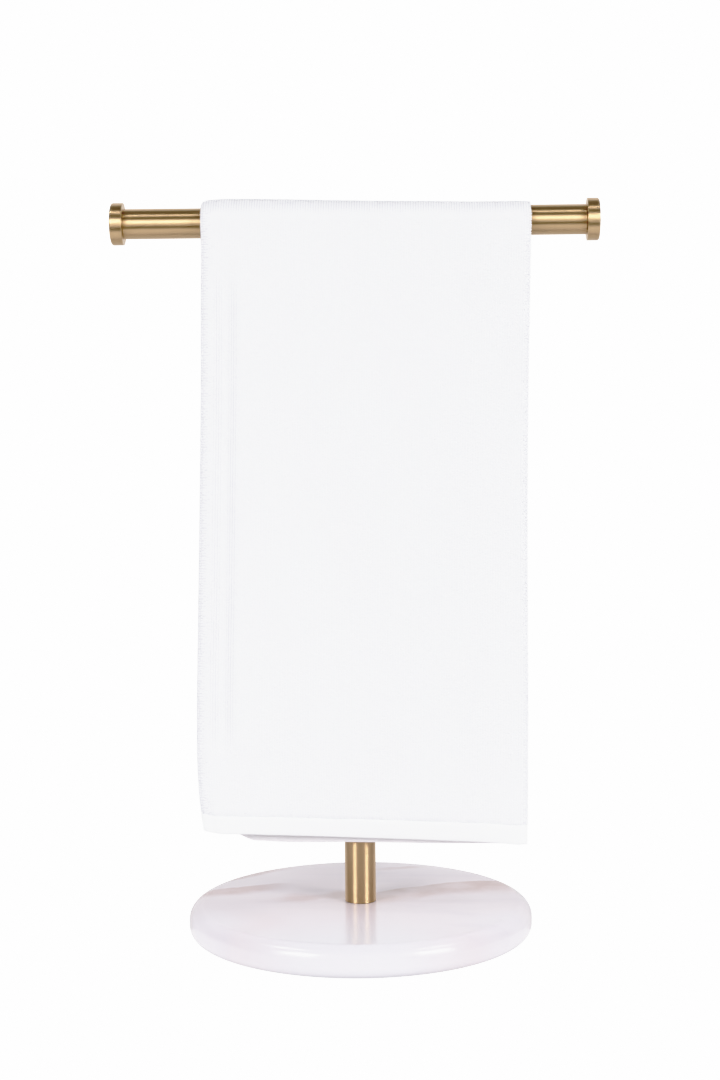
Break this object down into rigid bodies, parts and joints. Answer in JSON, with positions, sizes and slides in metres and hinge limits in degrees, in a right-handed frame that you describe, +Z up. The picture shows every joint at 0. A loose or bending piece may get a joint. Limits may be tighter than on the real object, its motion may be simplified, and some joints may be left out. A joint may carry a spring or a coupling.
{
  "type": "hand towel on a bar stand",
  "caption": "White hand towel folded lengthwise and hung over the bar of a free-standing brass stand with a round marble base.",
  "frame": {"origin": "middle of the underside of the round base, where the stand rests", "axes": "+Z up along the post, +X along the bar to the right as seen from in front, -Y towards the viewer in front"},
  "size_m": [0.3074, 0.22, 0.4709],
  "materials": {
    "terry": "white cotton terry with flat woven hems",
    "brass": "brushed satin",
    "marble": "polished white marble with faint brown veins"
  },
  "bodies": {
    "root": {"towel": "terry", "crossbar": "brass", "cap_left": "brass", "cap_right": "brass", "post": "brass", "base": "marble"}
  },
  "joints": []
}
